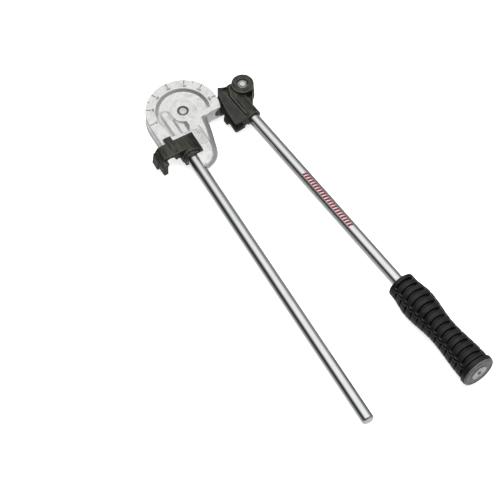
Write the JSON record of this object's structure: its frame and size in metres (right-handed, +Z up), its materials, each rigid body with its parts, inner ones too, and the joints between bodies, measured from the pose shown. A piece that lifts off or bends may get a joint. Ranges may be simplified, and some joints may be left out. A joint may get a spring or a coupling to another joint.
{
  "type": "manual tube bender",
  "caption": "Lever-type manual tube bender: cast former with bending scale, hinged tube hook, pivoting link and lever with slide shoe and rubber grip.",
  "frame": {"origin": "on the bending pivot, at the underside of the pivot pin's head", "axes": "+Z up along the bending pivot, +X along the fixed handle towards its free end"},
  "size_m": [0.4874, 0.1891, 0.04],
  "materials": {
    "cast_alloy": "fine cast, satin",
    "chrome_bar": "polished",
    "zinc_steel": "bright zinc",
    "spring_steel": "phosphated",
    "black_paint": "satin over cast iron",
    "link_paint": "satin over forged steel",
    "shoe_polymer": "satin",
    "bronze": "sintered",
    "grip_rubber": "moulded",
    "cap_plastic": "satin"
  },
  "bodies": {
    "frame": {"former": "cast_alloy", "fixed_handle": "chrome_bar", "handle_pins": "zinc_steel", "pivot_pin": "zinc_steel", "pivot_clip": "spring_steel", "pivot_washer": "zinc_steel", "hook_spring_washer": "spring_steel", "hook_clip": "spring_steel"},
    "tube_hook": {"hook": "black_paint"},
    "link": {"pivot_link": "link_paint", "pivot_bush": "bronze", "head_pin": "zinc_steel", "head_pin_clip": "zinc_steel", "head_pin_washer": "zinc_steel"},
    "lever": {"lever_head": "black_paint", "head_bush": "bronze", "slide_shoe": "shoe_polymer", "shoe_pins": "zinc_steel", "lever_tube": "chrome_bar", "lever_tube_pin": "zinc_steel", "grip": "grip_rubber", "grip_end_cap": "cap_plastic"}
  },
  "joints": [
    {"name": "bending_pivot", "type": "hinge", "parent": "frame", "child": "link", "pos_m": [0, 0, 0.0175], "axis": [0, 0, 1], "range_deg": [-6.5, 173.5]},
    {"name": "head_pivot", "type": "hinge", "parent": "link", "child": "lever", "pos_m": [0.0025, 0.07527, 0.0175], "axis": [0, 0, 1], "range_deg": [0, 100]},
    {"name": "hook_hinge", "type": "hinge", "parent": "frame", "child": "tube_hook", "pos_m": [0.04, -0.0182, 0.0175], "axis": [-1, 0, 0], "range_deg": [0, 90]}
  ]
}
